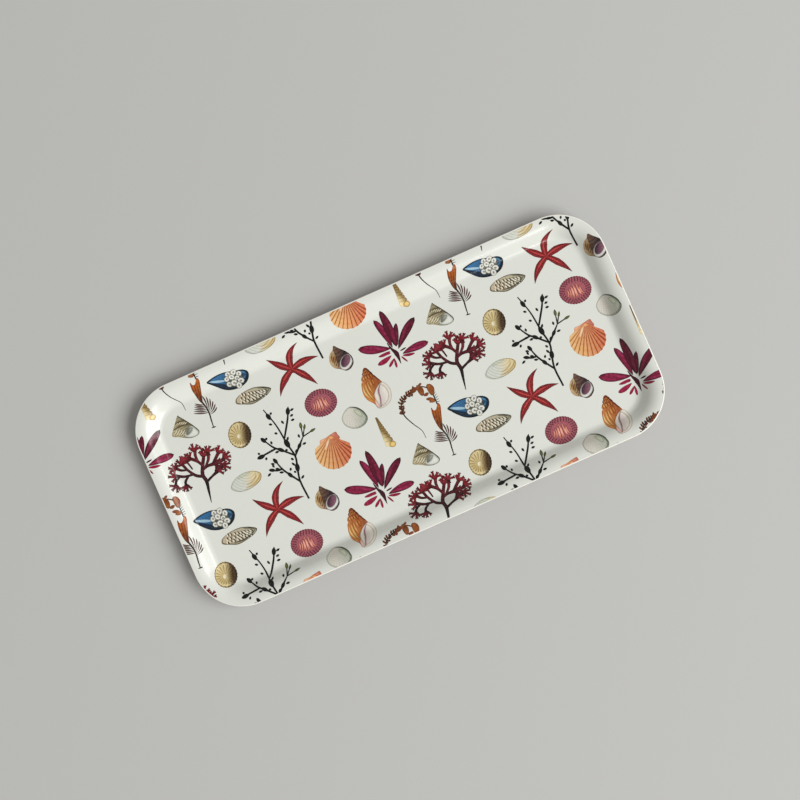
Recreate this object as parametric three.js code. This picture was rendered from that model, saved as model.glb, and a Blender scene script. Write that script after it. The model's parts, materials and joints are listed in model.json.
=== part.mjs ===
// A small oblong serving tray, form-pressed from laminated birch veneer with a printed melamine face.
// Millimetres, +Z up. The origin is the middle of the underside, +X along the tray, +Y across it.
//
// The tray is one flat stack of sheets, glued and pressed to shape in a single stroke, so every
// sheet has the same dished form. Each boundary between two sheets is one surface, worked out
// once and shared by the sheet above and the sheet below it.
import * as THREE from "three";

// The tray's overall size, and the rounding of its trimmed rim in plan.
const TRAY_LENGTH = 320;
const TRAY_WIDTH = 150;
const TRAY_HEIGHT = 10;
const RIM_CORNER_RADIUS = 31.5;

// The wall's section on the upper surface, from the floor outwards: a concave fillet, a short
// straight slope that takes up what is left of the height, a convex shoulder and an almost
// level lip.
const FILLET_RADIUS = 6.2;
const WALL_ANGLE = THREE.MathUtils.degToRad(40);
const SHOULDER_RADIUS = 13.3;
const LIP_ANGLE = THREE.MathUtils.degToRad(4);
const LIP_REACH = 2;

// The sheets from the top down: name, thickness, colour, roughness.
const VENEER_THICKNESS = 0.5;
const SHEETS = [
  ["clear_overlay", 0.1, 0xeef1ec, 0.22],
  ["decor_paper", 0.15, 0xd3d8d1, 0.5],
  ["face_veneer", VENEER_THICKNESS, 0xe2c79c, 0.6],
  ["upper_cross_veneer", VENEER_THICKNESS, 0xcfae7e, 0.65],
  ["core_veneer", VENEER_THICKNESS, 0xe2c79c, 0.6],
  ["lower_cross_veneer", VENEER_THICKNESS, 0xcfae7e, 0.65],
  ["back_veneer", VENEER_THICKNESS, 0xe2c79c, 0.6],
  ["backing_sheet", 0.25, 0xdcdcd4, 0.45],
];

// How finely the curves are divided.
const CORNER_STEPS = 8;
const FILLET_STEPS = 4;
const SHOULDER_STEPS = 4;

const totalThickness = SHEETS.reduce((sum, [, thickness]) => sum + thickness, 0);

// How high each stretch of the wall rises on the upper surface.
const filletRise = FILLET_RADIUS * (1 - Math.cos(WALL_ANGLE));
const shoulderRise = SHOULDER_RADIUS * (Math.cos(LIP_ANGLE) - Math.cos(WALL_ANGLE));
const lipRise = LIP_REACH * Math.tan(LIP_ANGLE);
const slopeRise = TRAY_HEIGHT - totalThickness - filletRise - shoulderRise - lipRise;

// How far it spreads in plan, from the edge of the flat floor to the rim.
const filletReach = FILLET_RADIUS * Math.sin(WALL_ANGLE);
const slopeReach = slopeRise / Math.tan(WALL_ANGLE);
const shoulderReach = SHOULDER_RADIUS * (Math.sin(WALL_ANGLE) - Math.sin(LIP_ANGLE));
const wallReach = filletReach + slopeReach + shoulderReach + LIP_REACH;

// Points [reach, height] along an arc of the section, its angle running between two wall slopes.
// A concave arc has its centre above it, a convex one below it.
function sectionArc(centre, radius, fromSlope, toSlope, steps, concave) {
  const side = concave ? 1 : -1;
  return Array.from({ length: steps + 1 }, (_, i) => {
    const slope = THREE.MathUtils.lerp(fromSlope, toSlope, i / steps);
    return [
      centre[0] + side * radius * Math.sin(slope),
      centre[1] - side * radius * Math.cos(slope),
    ];
  });
}

// The wall's section on the surface lying `depth` below the tray's upper surface: a list of
// [reach, height], from the edge of the floor (reach 0) out to the vertical trim at the rim.
function wallSection(depth) {
  const filletCentre = [0, totalThickness + FILLET_RADIUS];
  const fillet = sectionArc(
    filletCentre, FILLET_RADIUS + depth, 0, WALL_ANGLE, FILLET_STEPS, true,
  );
  const shoulderCentre = [
    filletReach + slopeReach + SHOULDER_RADIUS * Math.sin(WALL_ANGLE),
    totalThickness + filletRise + slopeRise - SHOULDER_RADIUS * Math.cos(WALL_ANGLE),
  ];
  const shoulder = sectionArc(
    shoulderCentre, SHOULDER_RADIUS - depth, WALL_ANGLE, LIP_ANGLE, SHOULDER_STEPS, false,
  );
  const [lipStart, lipHeight] = shoulder.at(-1);
  const rim = [wallReach, lipHeight + (wallReach - lipStart) * Math.tan(LIP_ANGLE)];
  return [...fillet, ...shoulder, rim];
}

// A closed rounded rectangle, `reach` outside the edge of the flat floor, anticlockwise from above.
function outline(reach, height) {
  const inset = wallReach - reach;
  const radius = RIM_CORNER_RADIUS - inset;
  const centreX = TRAY_LENGTH / 2 - RIM_CORNER_RADIUS;
  const centreY = TRAY_WIDTH / 2 - RIM_CORNER_RADIUS;
  const corners = [[1, 1], [-1, 1], [-1, -1], [1, -1]];
  return corners.flatMap(([sideX, sideY], quarter) =>
    Array.from({ length: CORNER_STEPS + 1 }, (_, i) => {
      const angle = (quarter + i / CORNER_STEPS) * Math.PI / 2;
      return new THREE.Vector3(
        sideX * centreX + radius * Math.cos(angle),
        sideY * centreY + radius * Math.sin(angle),
        height,
      );
    }),
  );
}

// The rings of one boundary surface, from the edge of the floor out to the rim.
function dishedSurface(depth) {
  return wallSection(depth).map(([reach, height]) => outline(reach, height));
}

// A closed sheet between two boundary surfaces, with a vertical cut edge round the rim.
function sheetGeometry(upper, lower) {
  const around = upper[0].length;
  const rings = upper.length;
  const vertexOf = (side, ring, i) => (side * rings + ring) * around + (i % around);
  const indices = [];
  const quad = (a, b, c, d) => indices.push(a, b, c, a, c, d);

  const floorOutline = upper[0].map(({ x, y }) => new THREE.Vector2(x, y));
  for (const [a, b, c] of THREE.ShapeUtils.triangulateShape(floorOutline, [])) {
    indices.push(vertexOf(0, 0, a), vertexOf(0, 0, b), vertexOf(0, 0, c));
    indices.push(vertexOf(1, 0, a), vertexOf(1, 0, c), vertexOf(1, 0, b));
  }
  for (let i = 0; i < around; i++) {
    for (let ring = 0; ring < rings - 1; ring++) {
      quad(
        vertexOf(0, ring, i), vertexOf(0, ring + 1, i),
        vertexOf(0, ring + 1, i + 1), vertexOf(0, ring, i + 1),
      );
      quad(
        vertexOf(1, ring, i), vertexOf(1, ring, i + 1),
        vertexOf(1, ring + 1, i + 1), vertexOf(1, ring + 1, i),
      );
    }
    const rim = rings - 1;
    quad(
      vertexOf(0, rim, i), vertexOf(1, rim, i),
      vertexOf(1, rim, i + 1), vertexOf(0, rim, i + 1),
    );
  }

  const geometry = new THREE.BufferGeometry();
  geometry.setFromPoints([...upper.flat(), ...lower.flat()]);
  geometry.setIndex(indices);
  geometry.computeVertexNormals();
  return geometry;
}

const tray = new THREE.Group();
let depth = 0;
let upper = dishedSurface(depth);
for (const [name, thickness, color, roughness] of SHEETS) {
  depth += thickness;
  const lower = dishedSurface(depth);
  const material = new THREE.MeshStandardMaterial({ color, roughness, metalness: 0 });
  const sheet = new THREE.Mesh(sheetGeometry(upper, lower), material);
  sheet.name = name;
  tray.add(sheet);
  upper = lower;
}

export default tray;
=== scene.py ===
import json
import math
import random

import bpy
import numpy as np
from mathutils import Matrix, Vector
from mathutils.geometry import delaunay_2d_cdt


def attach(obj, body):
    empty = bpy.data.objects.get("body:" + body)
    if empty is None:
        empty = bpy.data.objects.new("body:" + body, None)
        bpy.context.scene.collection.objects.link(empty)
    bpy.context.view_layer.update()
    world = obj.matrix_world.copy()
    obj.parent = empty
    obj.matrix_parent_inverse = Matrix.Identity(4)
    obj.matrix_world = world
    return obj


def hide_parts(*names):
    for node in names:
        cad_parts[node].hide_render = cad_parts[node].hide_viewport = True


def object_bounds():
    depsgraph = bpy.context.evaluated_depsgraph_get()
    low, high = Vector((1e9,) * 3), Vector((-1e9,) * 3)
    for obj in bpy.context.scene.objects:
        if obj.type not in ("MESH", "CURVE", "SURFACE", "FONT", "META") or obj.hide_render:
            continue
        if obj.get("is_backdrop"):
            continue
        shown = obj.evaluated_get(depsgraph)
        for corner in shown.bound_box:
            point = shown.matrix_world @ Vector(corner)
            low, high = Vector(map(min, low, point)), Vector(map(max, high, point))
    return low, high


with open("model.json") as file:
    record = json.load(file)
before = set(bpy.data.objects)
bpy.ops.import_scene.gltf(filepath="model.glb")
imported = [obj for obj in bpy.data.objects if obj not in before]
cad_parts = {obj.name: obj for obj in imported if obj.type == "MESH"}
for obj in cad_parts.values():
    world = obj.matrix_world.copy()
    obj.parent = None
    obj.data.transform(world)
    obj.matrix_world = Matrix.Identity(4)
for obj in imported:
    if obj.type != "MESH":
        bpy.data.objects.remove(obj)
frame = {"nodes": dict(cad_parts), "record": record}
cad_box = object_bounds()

MM = 0.001

# ---------------------------------------------------------------------------------------------
# The pressed form. Eight sheets are stacked flat and pressed hot between two dished tools, so
# they all take one section: a fillet out of the flat floor, a short straight slope, a rounded
# shoulder and an almost level lip. The rim is then sawn square and sanded round.

FILLET_RADIUS = 6.2 * MM
SHOULDER_RADIUS = 13.3 * MM
LIP_REACH = 2.0 * MM
RIM_CORNER_RADIUS = 31.5 * MM
SANDED_RADIUS = 0.6 * MM
SLOPE_ANGLE = math.radians(40)
LIP_ANGLE = math.radians(4)
CORNER_STEPS = 32
WALL_STEPS = 44

tray_length, tray_width, tray_height = cad_box[1] - cad_box[0]
mounts = {mount["name"]: mount["pos_m"] for mount in frame["record"]["mounts"]}
thickness = mounts["tray_floor"][2]
corner_centre = np.array([tray_length, tray_width]) / 2 - RIM_CORNER_RADIUS

fillet_rise = FILLET_RADIUS * (1 - math.cos(SLOPE_ANGLE))
shoulder_rise = SHOULDER_RADIUS * (math.cos(LIP_ANGLE) - math.cos(SLOPE_ANGLE))
lip_rise = LIP_REACH * math.tan(LIP_ANGLE)
slope_rise = tray_height - thickness - fillet_rise - shoulder_rise - lip_rise
wall_reach = (
    FILLET_RADIUS * math.sin(SLOPE_ANGLE)
    + slope_rise / math.tan(SLOPE_ANGLE)
    + SHOULDER_RADIUS * (math.sin(SLOPE_ANGLE) - math.sin(LIP_ANGLE))
    + LIP_REACH
)
floor_corner_radius = RIM_CORNER_RADIUS - wall_reach

# The wall as stations along the sheet: how steep it is there, how far out and how far up it is.
stretches = [
    0,
    FILLET_RADIUS * SLOPE_ANGLE,
    slope_rise / math.sin(SLOPE_ANGLE),
    SHOULDER_RADIUS * (SLOPE_ANGLE - LIP_ANGLE),
    2 * LIP_REACH,
]
bends = np.cumsum(stretches)
stations = np.linspace(0, bends[-1], 800)
tilts = np.interp(stations, bends, [0, SLOPE_ANGLE, SLOPE_ANGLE, LIP_ANGLE, LIP_ANGLE])
middle_tilts = (tilts[1:] + tilts[:-1]) / 2
reaches = np.concatenate([[0], np.cumsum(np.cos(middle_tilts))]) * stations[1]
rises = np.concatenate([[0], np.cumsum(np.sin(middle_tilts))]) * stations[1]


def beyond_floor(flat):
    """How far points of a flat sheet lie outside the edge of the tray's flat floor."""
    away = flat - np.clip(flat, -corner_centre, corner_centre)
    return np.linalg.norm(away, axis=1) - floor_corner_radius


def pressed(flat, depth):
    """Places and normals, once pressed, of points of a flat sheet `depth` below the top face."""
    corner = np.clip(flat, -corner_centre, corner_centre)
    station = np.clip(beyond_floor(flat), 0, None)
    outward = (flat - corner) / np.maximum(np.linalg.norm(flat - corner, axis=1), 1e-9)[:, None]
    tilt = np.interp(station, stations, tilts)[:, None]
    reach = np.interp(station, stations, reaches)[:, None] + depth * np.sin(tilt)
    up = thickness + np.interp(station, stations, rises)[:, None] - depth * np.cos(tilt)
    on_wall = corner + outward * (floor_corner_radius + reach)
    plan = np.where(station[:, None] > 0, on_wall, flat)
    return np.hstack([plan, up]), np.hstack([-outward * np.sin(tilt), np.cos(tilt)])


def rim_station(depth):
    """Where along the wall the sanded rim cuts the surface lying `depth` below the top face."""
    near = min(depth, thickness - depth, SANDED_RADIUS)
    sanded_off = SANDED_RADIUS - math.sqrt(SANDED_RADIUS**2 - (SANDED_RADIUS - near) ** 2)
    return np.interp(wall_reach - sanded_off, reaches + depth * np.sin(tilts), stations)


def flat_ring(station):
    """A closed line round the flat sheet, `station` outside the edge of the floor."""
    radius = floor_corner_radius + station
    line = []
    for quarter, side in enumerate([(1, 1), (-1, 1), (-1, -1), (1, -1)]):
        for angle in np.linspace(quarter, quarter + 1, CORNER_STEPS + 1) * math.pi / 2:
            turned = np.array([math.cos(angle), math.sin(angle)])
            line.append(corner_centre * side + radius * turned)
    return np.array(line)


def smooth_piece(name, places, faces, normals):
    """A new piece, shaded by its own normals."""
    mesh = bpy.data.meshes.new(name)
    mesh.from_pydata(places.tolist(), [], faces)
    mesh.shade_smooth()
    mesh.normals_split_custom_set_from_vertices(normals.tolist())
    piece = bpy.data.objects.new(name, mesh)
    bpy.context.scene.collection.objects.link(piece)
    return piece


def pressed_sheet(name, top, bottom, edge_steps=4):
    """A closed sheet between two depths, its cut edge sanded to the tray's rounded rim."""
    rows = []
    for depth, facing in ((top, 1), (bottom, -1)):
        # One more ring, just inside the edge of the floor, keeps the floor's shading flat.
        steps = np.concatenate([[-0.05], np.linspace(0, 1, WALL_STEPS + 1)]) * rim_station(depth)
        surface = [pressed(flat_ring(station), depth) for station in steps]
        surface = [(places, normals * facing) for places, normals in surface]
        rows += surface[::facing]
        if facing == 1:
            depths = np.linspace(top, bottom, edge_steps + 1)
            edge = [pressed(flat_ring(rim_station(d)), d)[0] for d in depths]
            outward = edge[0] - pressed(flat_ring(0), top)[0]
            outward[:, 2] = 0
            outward /= np.linalg.norm(outward, axis=1)[:, None]
            for step, places in enumerate(edge):
                run = edge[min(step + 1, edge_steps)] - edge[max(step - 1, 0)]
                across = np.sum(run * outward, axis=1)[:, None]
                normals = outward * -run[:, 2:] + [0, 0, 1] * across
                rows.append((places, normals / np.linalg.norm(normals, axis=1)[:, None]))
    # The rims of the two surfaces and of the cut edge are apart, so that the corners stay sharp.
    around = len(rows[0][0])
    surface_rows = WALL_STEPS + 2
    faces = [list(range(around))]
    bands = [False]
    for row in range(len(rows) - 1):
        edge_band = surface_rows <= row + 1 < surface_rows + edge_steps + 2
        if row + 1 in (surface_rows, surface_rows + edge_steps + 1):
            continue
        for i in range(around):
            a, b = row * around, (row + 1) * around
            after = (i + 1) % around
            faces.append([a + i, b + i, b + after, a + after])
            bands.append(edge_band)
    last = (len(rows) - 1) * around
    faces.append([last + i for i in reversed(range(around))])
    bands.append(False)
    all_places, all_normals = (np.vstack(part) for part in zip(*rows))
    piece = smooth_piece(name, all_places, faces, all_normals)
    cut = piece.data.attributes.new("cut_edge", "FLOAT", "FACE")
    cut.data.foreach_set("value", np.array(bands, dtype=float))
    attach(piece, "root")
    return piece


def depths_of(node):
    """The depths, below the tray's top face, between which a CAD sheet lies on the floor."""
    places = np.array([tuple(vertex.co) for vertex in frame["nodes"][node].data.vertices])
    heights = places[beyond_floor(places[:, :2]) < 0.01 * MM, 2]
    return round(thickness - heights.max(), 6), round(thickness - heights.min(), 6)


# ---------------------------------------------------------------------------------------------
# Backing sheet. A thin plain melamine sheet balances the printed face, so that the tray stays
# flat. It is pressed on with the plies and has the fine matt grain of the lower tool.


def node(tree, kind, values=(), **settings):
    """Adds a node. `values` sets its inputs, by name or number, or links them to an output."""
    made = tree.nodes.new("ShaderNode" + kind)
    for setting, value in settings.items():
        setattr(made, setting, value)
    for socket, value in dict(values).items():
        if isinstance(value, bpy.types.NodeSocket):
            tree.links.new(value, made.inputs[socket])
        else:
            made.inputs[socket].default_value = value
    return made


def maths(tree, operation, *values, clamp=False):
    """A Math node's result."""
    made = node(tree, "Math", enumerate(values), operation=operation, use_clamp=clamp)
    return made.outputs[0]


def blended(tree, factor, first, second):
    """Two colours mixed by a factor."""
    return node(tree, "Mix", {0: factor, 6: first, 7: second}, data_type="RGBA").outputs[2]


def noise(tree, place, scale, detail=2.0, roughness=0.5):
    """A cloudy pattern, from 0 to 1."""
    values = {"Vector": place, "Scale": scale, "Detail": detail, "Roughness": roughness}
    return node(tree, "TexNoise", values).outputs["Fac"]


def stretched(tree, value, low, high):
    """A value stretched so that `low` becomes 0 and `high` becomes 1, and no further."""
    values = {"Value": value, "From Min": low, "From Max": high}
    return node(tree, "MapRange", values).outputs["Result"]


def shade(red, green, blue):
    """A colour mixed as it looks, in steps of 255, as the linear colour that a shader takes."""
    steps = np.array([red, green, blue]) / 255
    linear = np.where(steps > 0.04045, ((steps + 0.055) / 1.055) ** 2.4, steps / 12.92)
    return (*linear.tolist(), 1.0)


def finish(name, roughness=0.5, ior=1.5):
    """A new material and its shader."""
    material = bpy.data.materials.new(name)
    material.use_nodes = True
    shader = material.node_tree.nodes["Principled BSDF"]
    shader.inputs["Roughness"].default_value = roughness
    shader.inputs["IOR"].default_value = ior
    return material, material.node_tree, shader


def shader_group(name, inputs, outputs):
    """A node group with named sockets: its tree, its inputs and its outputs."""
    group = bpy.data.node_groups.new(name, "ShaderNodeTree")
    for label, value in inputs.items():
        kind = "Float"
        if isinstance(value, tuple):
            kind = {3: "Vector", 4: "Color"}[len(value)]
        socket = group.interface.new_socket(label, in_out="INPUT", socket_type="NodeSocket" + kind)
        socket.default_value = value
    for label, kind in outputs.items():
        group.interface.new_socket(label, in_out="OUTPUT", socket_type="NodeSocket" + kind)
    given = group.nodes.new("NodeGroupInput").outputs
    return group, given, group.nodes.new("NodeGroupOutput").inputs


# Handling: dulled and slightly soiled patches, and the fine scratches of use.
handling, given, result = shader_group(
    "handling",
    {"Patch Scale": 24.0, "Scratch Scale": 60.0, "Scratch Amount": 0.5},
    {"Patches": "Float", "Scratches": "Float"},
)
place = node(handling, "TexCoord").outputs["Object"]
patches = noise(handling, place, given["Patch Scale"], 4.0, 0.6)
patches = stretched(handling, patches, 0.35, 0.7)
handling.links.new(patches, result["Patches"])
scratches = 0.0
for turn in (0.3, 1.4, 2.5):
    turned = node(
        handling, "Mapping",
        {"Vector": place, "Rotation": (0, 0, turn), "Scale": (20.0, 0.6, 1.0)},
        vector_type="TEXTURE",
    ).outputs["Vector"]
    lines = noise(handling, turned, maths(handling, "MULTIPLY", given["Scratch Scale"], 9.0))
    scratches = maths(handling, "MAXIMUM", scratches, stretched(handling, lines, 0.68, 0.74))
scratches = maths(handling, "MULTIPLY", scratches, given["Scratch Amount"])
handling.links.new(scratches, result["Scratches"])

backing_finish, tree, shader = finish("matt pale melamine backing", roughness=0.5)
wear = node(
    tree, "Group",
    {"Patch Scale": 18.0, "Scratch Scale": 40.0, "Scratch Amount": 0.4}, node_tree=handling,
)
pebble = node(
    tree, "TexVoronoi",
    {"Vector": node(tree, "TexCoord").outputs["Object"], "Scale": 1700.0},
    feature="SMOOTH_F1",
).outputs["Distance"]
cut = node(tree, "Attribute", attribute_name="cut_edge").outputs["Fac"]
soiled = blended(
    tree, maths(tree, "MULTIPLY", wear.outputs["Patches"], 0.5),
    shade(222, 223, 216), shade(205, 204, 195),
)
scuffed = blended(tree, wear.outputs["Scratches"], soiled, shade(182, 180, 172))
tree.links.new(blended(tree, cut, scuffed, shade(196, 178, 148)), shader.inputs["Base Color"])
tree.links.new(
    maths(tree, "MULTIPLY_ADD", wear.outputs["Patches"], 0.14, 0.42), shader.inputs["Roughness"],
)
grained = node(
    tree, "Bump",
    {"Height": maths(tree, "SUBTRACT", pebble, wear.outputs["Scratches"]), "Distance": 0.00003},
)
tree.links.new(grained.outputs["Normal"], shader.inputs["Normal"])

backing = pressed_sheet("backing_skin", *depths_of("backing_sheet"))
backing.data.materials.append(backing_finish)
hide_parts("backing_sheet")

# ---------------------------------------------------------------------------------------------
# Plies. Five sheets of rotary-cut birch veneer, glued with the grain of each across the next, so
# that the rim shows end grain and long grain by turns; their dark glue lines are not drawn.

birch, given, result = shader_group(
    "birch veneer",
    {"Grain Scale": (20.0, 700.0, 700.0), "Grain Way": (1.0, 0.0, 0.0)},
    {"Streaks": "Float", "Pores": "Float", "End Grain": "Float"},
)
place = node(birch, "TexCoord").outputs["Object"]
grown = node(
    birch, "VectorMath", {0: place, 1: given["Grain Scale"]}, operation="MULTIPLY",
).outputs["Vector"]
birch.links.new(noise(birch, grown, 1.0, 5.0, 0.65), result["Streaks"])
pores = node(
    birch, "TexVoronoi", {"Vector": place, "Scale": 4200.0, "Randomness": 0.9},
).outputs["Distance"]
birch.links.new(stretched(birch, pores, 0.22, 0.08), result["Pores"])
facing = node(
    birch, "VectorMath",
    {0: node(birch, "NewGeometry").outputs["Normal"], 1: given["Grain Way"]},
    operation="DOT_PRODUCT",
).outputs["Value"]
end_grain = maths(birch, "SMOOTH_MIN", maths(birch, "ABSOLUTE", facing), 1.0, 0.1)
birch.links.new(end_grain, result["End Grain"])


def birch_finish(name, grain_scale, grain_way, pale, dark):
    """Sanded and lacquered birch: pale long grain, darker and speckled where the grain ends."""
    material, tree, shader = finish(name, roughness=0.42)
    grain = node(
        tree, "Group", {"Grain Scale": grain_scale, "Grain Way": grain_way},
        node_tree=birch,
    )
    wear = node(tree, "Group", {"Patch Scale": 35.0}, node_tree=handling)
    streaked = node(tree, "ValToRGB", {"Fac": grain.outputs["Streaks"]})
    streaked.color_ramp.elements[0].position = 0.3
    streaked.color_ramp.elements[0].color = dark
    streaked.color_ramp.elements[1].position = 0.62
    streaked.color_ramp.elements[1].color = pale
    ended = blended(
        tree, maths(tree, "MULTIPLY", grain.outputs["End Grain"], 0.55),
        streaked.outputs["Color"], shade(150, 110, 70),
    )
    pored = blended(
        tree, maths(tree, "MULTIPLY", grain.outputs["Pores"], grain.outputs["End Grain"]),
        ended, shade(105, 72, 44),
    )
    soiled = blended(
        tree, maths(tree, "MULTIPLY", wear.outputs["Patches"], 0.3), pored, shade(120, 92, 62),
    )
    tree.links.new(soiled, shader.inputs["Base Color"])
    tree.links.new(
        maths(tree, "MULTIPLY_ADD", wear.outputs["Patches"], 0.2, 0.34),
        shader.inputs["Roughness"],
    )
    relief = maths(tree, "SUBTRACT", grain.outputs["Streaks"], grain.outputs["Pores"])
    raised = node(tree, "Bump", {"Height": relief, "Distance": 0.00004})
    tree.links.new(raised.outputs["Normal"], shader.inputs["Normal"])
    return material


long_birch = birch_finish(
    "birch, grain along the tray", (22.0, 900.0, 900.0), (1.0, 0.0, 0.0),
    shade(226, 200, 158), shade(196, 160, 112),
)
cross_birch = birch_finish(
    "birch, grain across the tray", (900.0, 22.0, 900.0), (0.0, 1.0, 0.0),
    shade(205, 172, 126), shade(168, 130, 86),
)
for ply in ("face", "upper_cross", "core", "lower_cross", "back"):
    veneer = pressed_sheet(ply + "_ply", *depths_of(ply + "_veneer"))
    crosses = ply.endswith("cross")
    veneer.data.materials.append(cross_birch if crosses else long_birch)
    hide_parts(ply + "_veneer")

# ---------------------------------------------------------------------------------------------
# Printed face. The decor paper is soaked in melamine, and the clear overlay fuses with it in the
# hot press into one hard, glossy skin. This is its pale ground; the ink is laid on below.

# Press gloss: the polish the upper tool leaves, with faint wiped patches and a slight ripple.
press_gloss, given, result = shader_group(
    "press gloss", {"Polish": 0.3, "Dulling": 0.1}, {"Roughness": "Float", "Ripple": "Float"},
)
wear = node(
    press_gloss, "Group", {"Patch Scale": 22.0, "Scratch Amount": 0.6},
    node_tree=handling,
)
dulled = maths(press_gloss, "ADD", wear.outputs["Patches"], wear.outputs["Scratches"])
dulled = maths(press_gloss, "MULTIPLY_ADD", dulled, given["Dulling"], given["Polish"])
press_gloss.links.new(dulled, result["Roughness"])
place = node(press_gloss, "TexCoord").outputs["Object"]
press_gloss.links.new(noise(press_gloss, place, 420.0), result["Ripple"])

POLISH = 0.16
DULLING = 0.08

face_finish, tree, shader = finish("printed melamine, pale ground")
gloss = node(
    tree, "Group", {"Polish": POLISH, "Dulling": DULLING}, node_tree=press_gloss,
)
place = node(tree, "TexCoord").outputs["Object"]
fibres = maths(tree, "MULTIPLY", noise(tree, place, 260.0, 6.0), 0.10)
cut = node(tree, "Attribute", attribute_name="cut_edge").outputs["Fac"]
tinted = blended(tree, noise(tree, place, 16.0), shade(228, 231, 223), shade(232, 234, 226))
fibred = blended(tree, fibres, tinted, shade(205, 209, 196))
# Where the sanded cut edge shows, the colour turns near-white. This is partly the pale sheet at the
# edge and partly a painted highlight along the rim.
tree.links.new(blended(tree, cut, fibred, shade(250, 248, 240)), shader.inputs["Base Color"])
tree.links.new(gloss.outputs["Roughness"], shader.inputs["Roughness"])
rippled = node(
    tree, "Bump", {"Height": gloss.outputs["Ripple"], "Distance": 0.000012},
)
tree.links.new(rippled.outputs["Normal"], shader.inputs["Normal"])

face_top = depths_of("clear_overlay")[0]
face_bottom = depths_of("decor_paper")[1]
face = pressed_sheet("printed_face", face_top, face_bottom)
face.data.materials.append(face_finish)
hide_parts("clear_overlay", "decor_paper")

# ---------------------------------------------------------------------------------------------
# The print. The paper is printed from rollers with one sheet of drawings that repeats along the
# tray, each row a quarter of the repeat to the left of the one above, and the drawings stand
# aslant to the tray. Every kind of creature is one thin film of ink here, cut off at the rim.

# Drawings are set out in millimetres, x along the page and y up it.
REPEAT = 176.9
ROW_PITCH = 77.9
ROW_SHIFT = REPEAT / 4
PAGE_TURN = math.radians(-23.9)
INK_LIFT = 0.03 * MM
BARE_RIM = 0.3 * MM
COPIES = range(-3, 4)
GRAIN_OF_DRAWING = 0.6
GRAIN_ROW = GRAIN_OF_DRAWING * 0.866


def turned(points, angle):
    """Points turned anticlockwise by an angle in radians."""
    c, s = math.cos(angle), math.sin(angle)
    return np.asarray(points, dtype=float) @ np.array([[c, s], [-s, c]])


def step(distance, heading, aside=0):
    """A step of `distance` along a heading in degrees, and `aside` to its left."""
    return turned([(distance, aside)], math.radians(heading))[0]


def heading_of(way):
    """The heading, in degrees, of a way across the page."""
    return math.degrees(math.atan2(way[1], way[0]))


def smooth(points, closed=True, per_span=6):
    """A line drawn freely through a few points."""
    points = np.asarray(points, dtype=float)
    if closed:
        padded = np.vstack([points[-1:], points, points[:2]])
    else:
        first = 2 * points[:1] - points[1:2]
        last = 2 * points[-1:] - points[-2:-1]
        padded = np.vstack([first, points, last])
    line = []
    for a, b, c, d in zip(padded, padded[1:], padded[2:], padded[3:]):
        for t in np.arange(per_span) / per_span:
            curl = 2 * a - 5 * b + 4 * c - d + t * (3 * (b - c) + d - a)
            line.append(b + 0.5 * t * (c - a + t * curl))
    if not closed:
        line.append(points[-1])
    return np.array(line)


def oval(centre, length, width, turn=0.0, ripple=0.0, ripples=0):
    """An ellipse, its long side turned by `turn` degrees, with an optional wavy edge."""
    count = max(28, 6 * ripples)
    angles = np.arange(count) * 2 * math.pi / count
    size = 1 + ripple * np.cos(angles * ripples)
    line = np.column_stack([np.cos(angles) * length, np.sin(angles) * width]) / 2
    return turned(line * size[:, None], math.radians(turn)) + centre


def ribbon(points, widths, per_span=6):
    """A strip along a free line, its width changing from point to point of `widths`."""
    line = smooth(points, closed=False, per_span=per_span)
    way = np.gradient(line, axis=0)
    side = np.column_stack([-way[:, 1], way[:, 0]])
    side /= np.maximum(np.linalg.norm(side, axis=1), 1e-9)[:, None]
    along = np.linspace(0, 1, len(line))
    half = np.interp(along, np.linspace(0, 1, len(widths)), widths)[:, None] / 2
    return np.vstack([line + side * half, (line - side * half)[::-1]])


def leaf(base, length, heading, width, bend=0.0, widest=0.5, blunt=0.6):
    """A blade that swells and tapers: `bend` bows it to its left, `blunt` rounds its ends."""
    t = np.linspace(0, 1, 15)
    line = np.column_stack([t * length, 4 * bend * t * (1 - t)])
    half = width / 2 * np.sin(math.pi * t ** (math.log(0.5) / math.log(widest))) ** blunt
    half = np.maximum(half, 0.04)
    outline = np.vstack([line + half[:, None] * [0, 1], (line - half[:, None] * [0, 1])[::-1]])
    return turned(outline, math.radians(heading)) + base


def fanned(pivot):
    """Drawing grain that spreads from a point: the angle in radians, then millimetres outwards."""
    def grain(points):
        away = points - pivot
        return np.column_stack([np.arctan2(away[:, 1], away[:, 0]), np.linalg.norm(away, axis=1)])
    return grain


def straight(turn):
    """Drawing grain in straight lines: millimetres across, then millimetres along."""
    def grain(points):
        return turned(points, math.radians(90 - turn))
    return grain


def plain(points):
    """No drawing grain."""
    return np.zeros((len(points), 2))


def wash(first, second, start, end):
    """Ink that runs evenly from one colour at `start` to another at `end`."""
    first, second = np.array(shade(*first)[:3]), np.array(shade(*second)[:3])
    way = np.subtract(end, start)

    def colour(points, nearest):
        share = np.clip((points - start) @ way / (way @ way), 0, 1)[:, None]
        return first + share * (second - first)
    return colour


def rounded(rim, middle, reach):
    """Ink that changes evenly from the edge of its layer to `reach` millimetres inside it."""
    rim, middle = np.array(shade(*rim)[:3]), np.array(shade(*middle)[:3])

    def colour(points, nearest):
        share = np.clip(nearest / reach, 0, 1)[:, None]
        return rim + share * (middle - rim)
    return colour


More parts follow.
